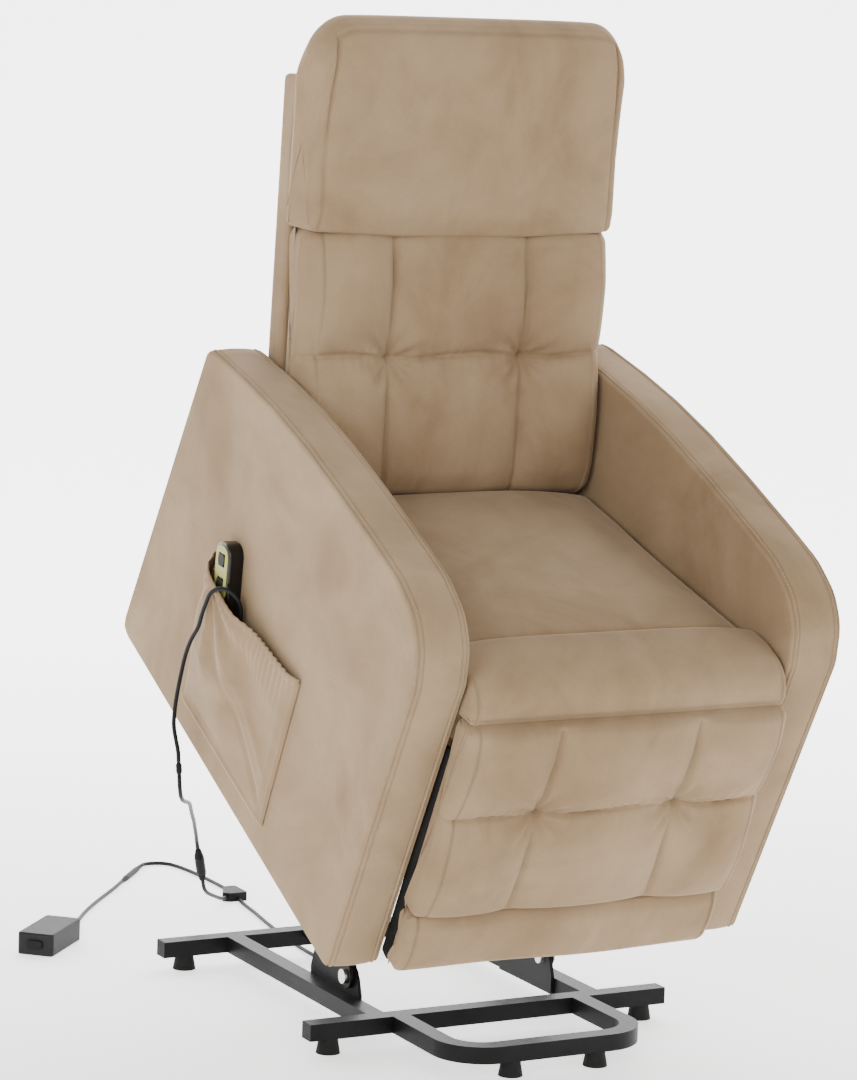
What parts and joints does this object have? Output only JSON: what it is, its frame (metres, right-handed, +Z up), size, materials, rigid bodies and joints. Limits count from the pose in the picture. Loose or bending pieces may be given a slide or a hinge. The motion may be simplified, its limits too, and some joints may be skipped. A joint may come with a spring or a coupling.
{
  "type": "lift recliner chair",
  "caption": "Powered lift recliner armchair in taupe velvet, seat raised and tipped forward on a folding link base, with handset pocket, cords and power supply.",
  "frame": {"origin": "middle of the footprint of the chair without its cords and power supply, on the floor, with the seat raised", "axes": "+Z up, -Y the way the chair faces, +X towards the sitter's left"},
  "size_m": [0.8124, 1.5525, 1.4931],
  "materials": {
    "frame_steel": "satin black powder coat",
    "black_plastic": "moulded black",
    "grey_plastic": "fine-grained dark grey",
    "foot_rubber": "matt black",
    "zinc_steel": "bright zinc plated",
    "actuator_plastic": "matt black",
    "timber": "sawn plywood",
    "velvet": "mottled taupe velvet",
    "handset_gloss": "gloss black",
    "keypad_plastic": "yellow-green membrane",
    "button_rubber": "dark soft touch",
    "cord_vinyl": "matt black vinyl"
  },
  "bodies": {
    "base": {"base_rear_tube": "frame_steel", "base_front_tube": "frame_steel", "base_side_rails": "frame_steel", "base_front_loop": "frame_steel", "tube_end_caps": "black_plastic", "base_feet": "foot_rubber", "lift_brackets": "frame_steel", "base_pivot_bolts": "zinc_steel", "junction_box": "black_plastic", "handset_cord_lower": "cord_vinyl", "handset_plug": "black_plastic", "handset_cord_tail": "cord_vinyl", "trunk_cord": "cord_vinyl", "cord_splitter": "black_plastic", "supply_cord_a": "cord_vinyl", "supply_connector": "black_plastic", "supply_cord_b": "cord_vinyl", "power_supply_case": "grey_plastic", "power_inlet": "black_plastic"},
    "front_linkage": {"front_links": "frame_steel"},
    "rear_linkage": {"rear_links": "frame_steel", "rear_link_axle": "frame_steel", "lift_crank": "frame_steel"},
    "chair": {"seat_side_plates": "frame_steel", "seat_cross_tubes": "frame_steel", "seat_front_rail": "timber", "seat_rear_rail": "timber", "seat_springs": "zinc_steel", "chair_pivot_bolts": "zinc_steel", "actuator_tube": "actuator_plastic", "actuator_motor": "actuator_plastic", "arm_left": "velvet", "arm_right": "velvet", "arm_frames": "timber", "recline_bushes": "zinc_steel", "seat_cushion": "velvet", "seat_bolster": "velvet", "footrest_brackets": "frame_steel", "footrest_pivot_bolts": "zinc_steel", "side_pocket": "velvet", "pocket_hem": "velvet", "handset_case": "handset_gloss", "handset_keypad": "keypad_plastic", "handset_cord_upper": "cord_vinyl", "cord_sleeve": "black_plastic"},
    "actuator_ram": {"actuator_rod": "zinc_steel"},
    "back": {"back_shell": "velvet", "back_frame": "timber", "back_cushion": "velvet", "headrest": "velvet", "back_hinge_pins": "zinc_steel"},
    "inner_fold": {"footrest_inner_links": "frame_steel"},
    "outer_fold": {"footrest_outer_links": "frame_steel"},
    "leg_rest": {"leg_rest_brackets": "frame_steel", "leg_rest_board": "timber", "leg_rest_pad": "velvet", "leg_rest_roll": "velvet"},
    "up_button": {"button_up": "button_rubber"},
    "down_button": {"button_down": "button_rubber"}
  },
  "joints": [
    {"name": "lift", "type": "hinge", "parent": "base", "child": "rear_linkage", "pos_m": [0.0155, 0.10455, 0.09], "axis": [1, 0, 0], "range_deg": [-62.08, 0], "deforming": ["handset_cord_lower", "handset_plug", "handset_cord_tail"]},
    {"name": "chair_tilt", "type": "hinge", "parent": "rear_linkage", "child": "chair", "pos_m": [0.0155, 0.30771, 0.46921], "axis": [1, 0, 0], "range_deg": [0, 35.99]},
    {"name": "front_link_swing", "type": "hinge", "parent": "base", "child": "front_linkage", "pos_m": [0.0155, 0.01455, 0.074], "axis": [1, 0, 0], "range_deg": [-67.49, 0]},
    {"name": "ram_slide", "type": "slide", "parent": "chair", "child": "actuator_ram", "axis": [0, 0.898, 0.4399], "range_m": [0, 0.07423]},
    {"name": "recline", "type": "hinge", "parent": "chair", "child": "back", "pos_m": [0.0155, 0.18429, 0.70937], "axis": [-1, 0, 0], "range_deg": [0, 35]},
    {"name": "footrest", "type": "hinge", "parent": "chair", "child": "inner_fold", "pos_m": [0.0155, -0.27793, 0.51634], "axis": [-1, 0, 0], "range_deg": [0, 93.67]},
    {"name": "footrest_knee", "type": "hinge", "parent": "inner_fold", "child": "outer_fold", "pos_m": [0.0155, -0.13861, 0.36596], "axis": [1, 0, 0], "range_deg": [0, 99.87]},
    {"name": "leg_rest_turn", "type": "hinge", "parent": "outer_fold", "child": "leg_rest", "pos_m": [0.0155, -0.34349, 0.37287], "axis": [-1, 0, 0], "range_deg": [0, 86.2]},
    {"name": "press_up", "type": "slide", "parent": "chair", "child": "up_button", "axis": [1, 0, 0], "range_m": [0, 0.0012], "stiffness_N_per_m": 400},
    {"name": "press_down", "type": "slide", "parent": "chair", "child": "down_button", "axis": [1, 0, 0], "range_m": [0, 0.0012], "stiffness_N_per_m": 400}
  ],
  "couplings": [
    {"joint": "chair_tilt", "follows": "lift", "ratio": -0.57959},
    {"joint": "front_link_swing", "follows": "lift", "ratio": 1.0869},
    {"joint": "ram_slide", "follows": "lift", "m_per_rad": -0.068414},
    {"joint": "footrest_knee", "follows": "footrest", "ratio": 1.0661},
    {"joint": "leg_rest_turn", "follows": "footrest", "ratio": 0.92016}
  ]
}
